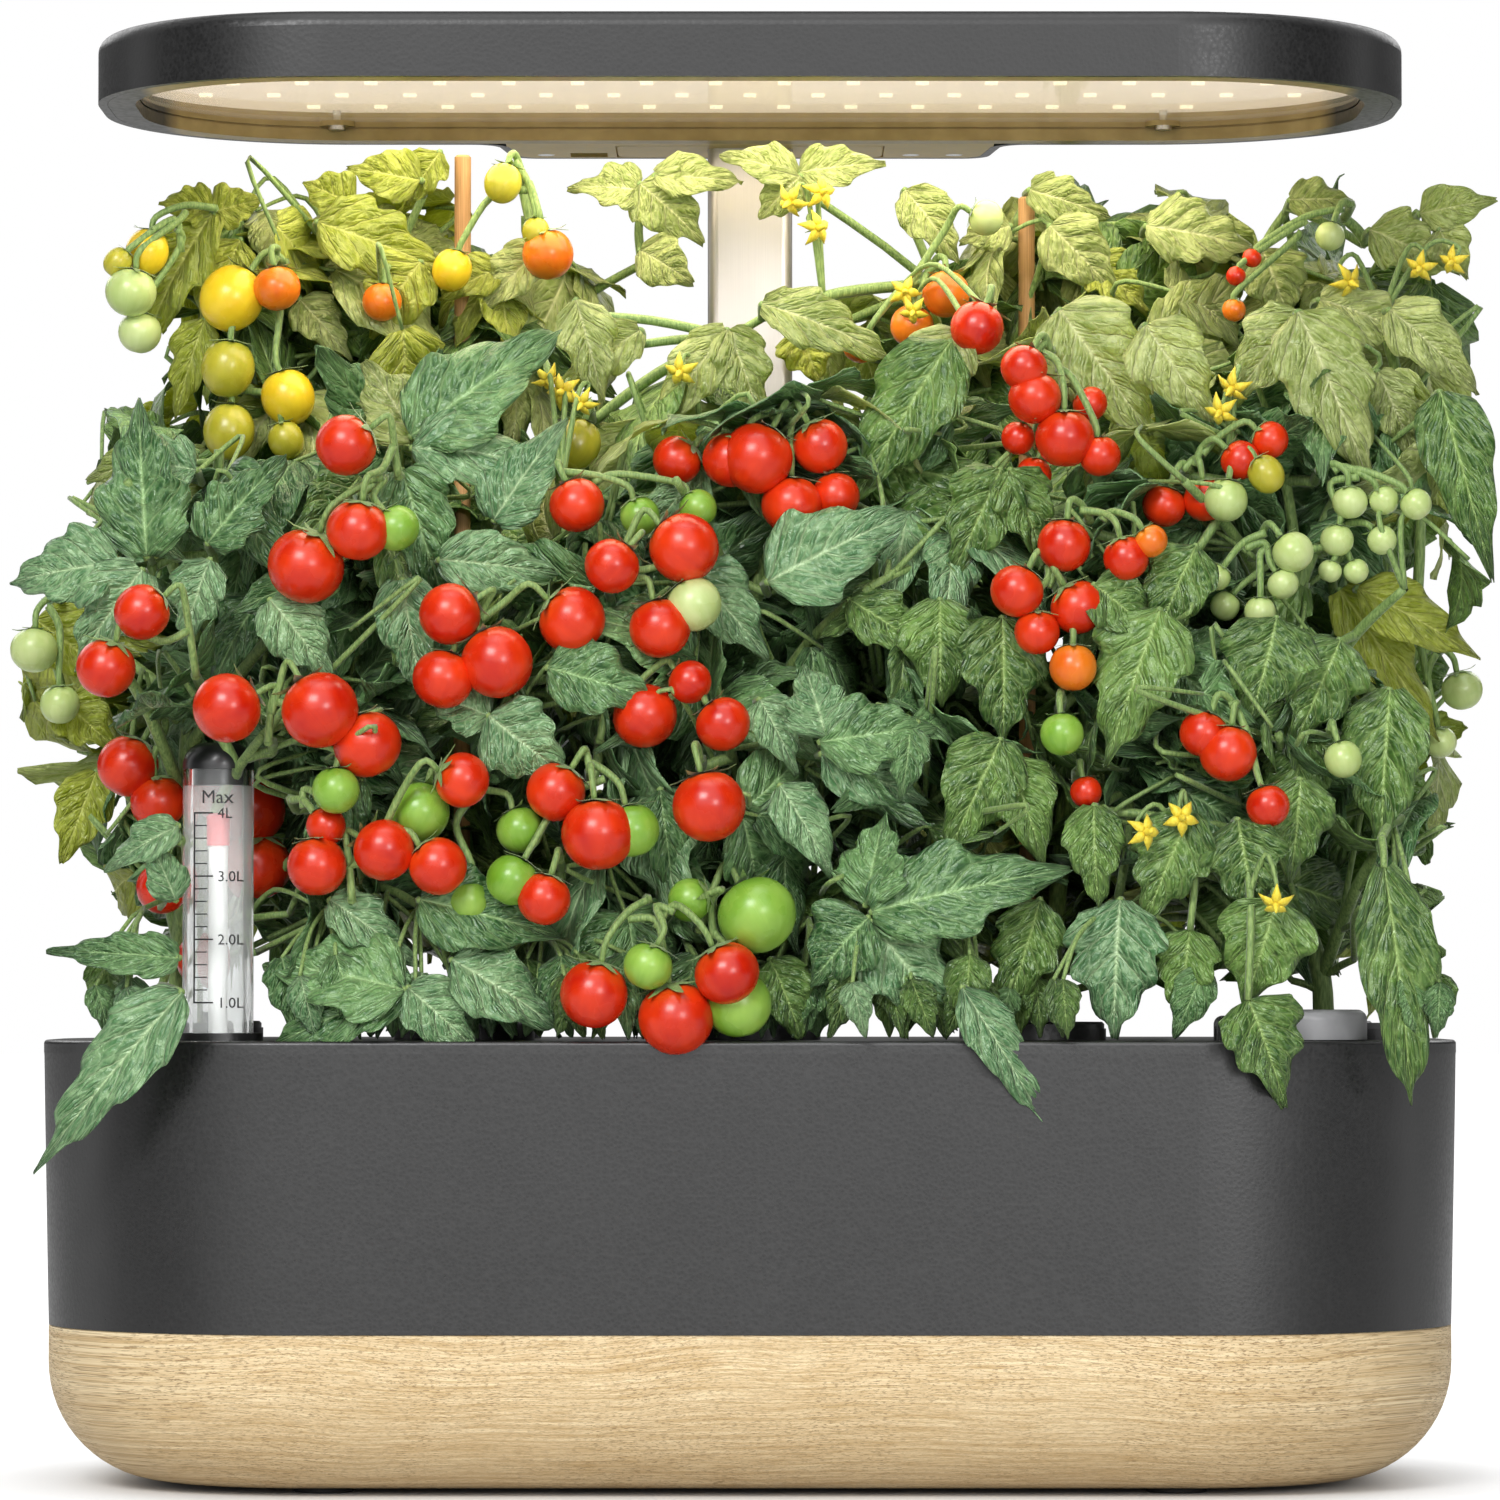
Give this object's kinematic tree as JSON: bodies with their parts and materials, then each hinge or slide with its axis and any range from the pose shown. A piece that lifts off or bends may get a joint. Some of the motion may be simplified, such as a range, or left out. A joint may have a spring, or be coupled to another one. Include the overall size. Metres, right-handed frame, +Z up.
{
  "type": "countertop hydroponic garden",
  "caption": "Rounded water tank with a wood-look base, a planting deck with grow pods and tomato plants, a clear float gauge, and a long lamp on a telescopic pole.",
  "frame": {"origin": "centre of the footprint, on the counter", "axes": "+Z up, the front faces -Y, +X to the right seen from the front"},
  "size_m": [0.4, 0.208, 0.389],
  "materials": {
    "tank_plastic": "matte",
    "oak_look": "matte",
    "foot_rubber": "matte",
    "screw_steel": "satin",
    "pump_plastic": "matte",
    "impeller_plastic": "matte",
    "filter_foam": "matte",
    "deck_plastic": "matte",
    "basket_plastic": "matte",
    "grow_sponge": "matte",
    "foliage": "matte",
    "stake_wood": "matte",
    "clear_plastic": "gloss",
    "gauge_cap_plastic": "gloss",
    "float_foam": "matte",
    "float_stem_plastic": "satin",
    "float_tip_plastic": "gloss",
    "inlet_cap_plastic": "satin",
    "pole_metal": "satin",
    "bezel_plastic": "satin",
    "lens_plastic": "gloss",
    "board_white": "satin",
    "led_yellow": "satin",
    "board_green": "satin",
    "jack_plastic": "matte",
    "button_plastic": "satin"
  },
  "bodies": {
    "tank": {"water_tank": "tank_plastic", "base_shell": "oak_look", "feet": "foot_rubber", "base_screws": "screw_steel", "pump_body": "pump_plastic", "pump_outlet": "pump_plastic", "impeller_shaft": "screw_steel", "volute_plate": "pump_plastic", "intake_cover": "pump_plastic", "filter_sponge": "filter_foam", "suction_cups": "foot_rubber"},
    "impeller": {"pump_impeller": "impeller_plastic"},
    "deck": {"planting_deck": "deck_plastic", "grow_basket_1": "basket_plastic", "grow_basket_2": "basket_plastic", "grow_basket_3": "basket_plastic", "grow_basket_4": "basket_plastic", "grow_basket_5": "basket_plastic", "grow_sponge_1": "grow_sponge", "grow_sponge_2": "grow_sponge", "grow_sponge_3": "grow_sponge", "grow_sponge_4": "grow_sponge", "grow_sponge_5": "grow_sponge", "tomato_plant_1": "foliage", "tomato_plant_2": "foliage", "tomato_plant_3": "foliage", "tomato_plant_4": "foliage", "tomato_plant_5": "foliage", "left_stake": "stake_wood", "right_stake": "stake_wood", "gauge_tube": "clear_plastic", "gauge_cap": "gauge_cap_plastic", "gauge_bush": "gauge_cap_plastic", "inlet_hinge_pin": "screw_steel", "pole_outer": "pole_metal", "pole_collar": "tank_plastic"},
    "float": {"gauge_float": "float_foam", "float_stem": "float_stem_plastic", "float_tip": "float_tip_plastic"},
    "inlet_cap": {"inlet_cap": "inlet_cap_plastic"},
    "lamp": {"pole_inner": "pole_metal", "lamp_housing": "tank_plastic", "lamp_bezel": "bezel_plastic", "lens_panel": "lens_plastic", "led_board": "board_white", "leds": "led_yellow", "lamp_rear_cover": "bezel_plastic", "pole_cover_plate": "bezel_plastic", "pole_bracket": "screw_steel", "control_board": "board_green", "dc_jack": "jack_plastic", "lamp_screws": "screw_steel"},
    "pod_cap_1": {"pod_cap_1": "deck_plastic"},
    "pod_cap_2": {"pod_cap_2": "deck_plastic"},
    "pod_cap_3": {"pod_cap_3": "deck_plastic"},
    "pod_cap_4": {"pod_cap_4": "deck_plastic"},
    "pod_cap_5": {"pod_cap_5": "deck_plastic"},
    "button_1": {"button_1": "button_plastic"},
    "button_2": {"button_2": "button_plastic"},
    "button_3": {"button_3": "button_plastic"}
  },
  "joints": [
    {"name": "deck_lift", "type": "slide", "parent": "tank", "child": "deck", "axis": [0, 0, 1], "range_m": [0, 0.12]},
    {"name": "lamp_height", "type": "slide", "parent": "deck", "child": "lamp", "axis": [0, 0, 1], "range_m": [0, 0.09]},
    {"name": "float_rise", "type": "slide", "parent": "deck", "child": "float", "axis": [0, 0, 1], "range_m": [-0.0502, 0]},
    {"name": "inlet_cap_hinge", "type": "hinge", "parent": "deck", "child": "inlet_cap", "pos_m": [0.1254, -0.061, 0.1237], "axis": [0, -1, 0], "range_deg": [0, 105]},
    {"name": "impeller_spin", "type": "hinge", "parent": "tank", "child": "impeller", "pos_m": [0, 0.03, 0.0279], "axis": [0, 1, 0], "continuous": true},
    {"name": "pod_cap_1_lift", "type": "slide", "parent": "deck", "child": "pod_cap_1", "axis": [0, 0, 1], "range_m": [0, 0.012]},
    {"name": "pod_cap_2_lift", "type": "slide", "parent": "deck", "child": "pod_cap_2", "axis": [0, 0, 1], "range_m": [0, 0.012]},
    {"name": "pod_cap_3_lift", "type": "slide", "parent": "deck", "child": "pod_cap_3", "axis": [0, 0, 1], "range_m": [0, 0.012]},
    {"name": "pod_cap_4_lift", "type": "slide", "parent": "deck", "child": "pod_cap_4", "axis": [0, 0, 1], "range_m": [0, 0.012]},
    {"name": "pod_cap_5_lift", "type": "slide", "parent": "deck", "child": "pod_cap_5", "axis": [0, 0, 1], "range_m": [0, 0.012]},
    {"name": "button_1_press", "type": "slide", "parent": "lamp", "child": "button_1", "axis": [0, 0, -1], "range_m": [0, 0.001], "stiffness_N_per_m": 400},
    {"name": "button_2_press", "type": "slide", "parent": "lamp", "child": "button_2", "axis": [0, 0, -1], "range_m": [0, 0.001], "stiffness_N_per_m": 400},
    {"name": "button_3_press", "type": "slide", "parent": "lamp", "child": "button_3", "axis": [0, 0, -1], "range_m": [0, 0.001], "stiffness_N_per_m": 400}
  ]
}
